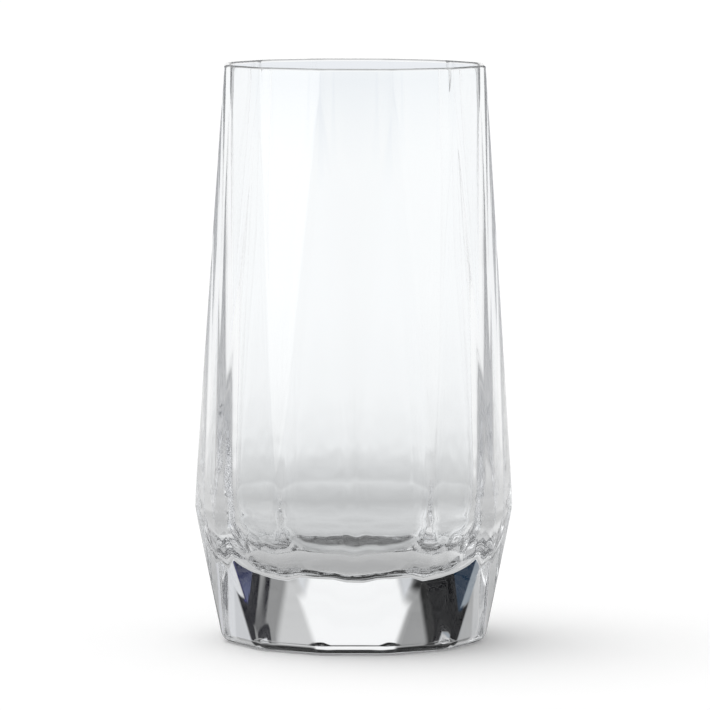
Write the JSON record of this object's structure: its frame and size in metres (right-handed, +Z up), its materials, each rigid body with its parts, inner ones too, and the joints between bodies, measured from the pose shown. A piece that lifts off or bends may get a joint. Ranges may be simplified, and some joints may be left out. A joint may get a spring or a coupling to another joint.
{
  "type": "tall tumbler",
  "caption": "Tall clear glass tumbler with long triangular facets, a widest line low on the body, a round cavity and a heavy solid base.",
  "frame": {"origin": "centre of the foot's resting face", "axes": "+Z up along the glass's axis towards the rim; +X and -Y each pass through a corner of the shoulder, and the pictured side faces -Y"},
  "size_m": [0.0806, 0.0806, 0.146],
  "materials": {
    "clear_glass": "polished colourless crystal glass, fire-polished at the rim"
  },
  "bodies": {
    "tumbler": {"bowl": "clear_glass", "base": "clear_glass"}
  },
  "joints": []
}
